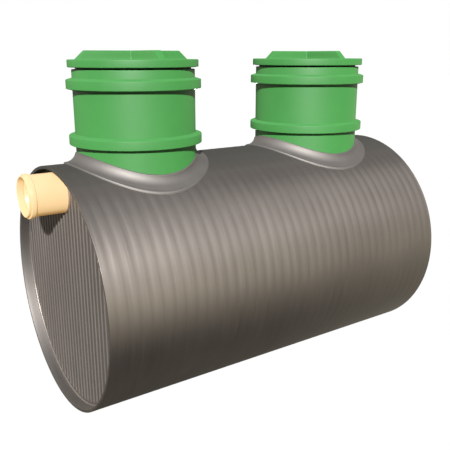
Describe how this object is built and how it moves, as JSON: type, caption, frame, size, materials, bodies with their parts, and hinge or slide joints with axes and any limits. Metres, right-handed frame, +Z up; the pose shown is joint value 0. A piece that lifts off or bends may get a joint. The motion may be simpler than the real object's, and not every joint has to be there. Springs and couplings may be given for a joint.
{
  "type": "oil separator",
  "caption": "Horizontal cylindrical plastic oil separator tank with recessed ribbed ends, pipe sockets and green access shafts closed by lift-off lids.",
  "frame": {"origin": "under the middle of the tank, on the line along which its round shell lies on its bedding", "axes": "+X along the tank axis towards the outlet end, +Z up along the access shafts"},
  "size_m": [2.216, 1.1598, 1.6579],
  "materials": {
    "shell_plastic": "satin",
    "end_plastic": "satin",
    "collar_plastic": "gloss",
    "green_plastic": "satin",
    "pipe_plastic": "satin",
    "rubber": "matte"
  },
  "bodies": {
    "tank": {"tank_shell": "shell_plastic", "inlet_end_wall": "end_plastic", "inlet_end_weld": "end_plastic", "inlet_socket": "pipe_plastic", "inlet_wall_seal": "rubber", "inlet_shaft_collar": "collar_plastic", "inlet_base_tube": "green_plastic", "inlet_lower_ring": "green_plastic", "inlet_riser_tube": "green_plastic", "inlet_upper_ring": "green_plastic", "inlet_neck": "green_plastic", "inlet_lid_seal": "rubber", "outlet_end_wall": "end_plastic", "outlet_end_weld": "end_plastic", "outlet_socket": "pipe_plastic", "outlet_wall_seal": "rubber", "outlet_shaft_collar": "collar_plastic", "outlet_base_tube": "green_plastic", "outlet_lower_ring": "green_plastic", "outlet_riser_tube": "green_plastic", "outlet_upper_ring": "green_plastic", "outlet_neck": "green_plastic", "outlet_lid_seal": "rubber"},
    "inlet_lid": {"inlet_lid": "green_plastic", "inlet_lid_cross": "green_plastic"},
    "outlet_lid": {"outlet_lid": "green_plastic", "outlet_lid_cross": "green_plastic"}
  },
  "joints": [
    {"name": "inlet_lid_lift", "type": "slide", "parent": "tank", "child": "inlet_lid", "axis": [0, 0, 1], "range_m": [0, 0.3]},
    {"name": "outlet_lid_lift", "type": "slide", "parent": "tank", "child": "outlet_lid", "axis": [0, 0, 1], "range_m": [0, 0.3]}
  ]
}
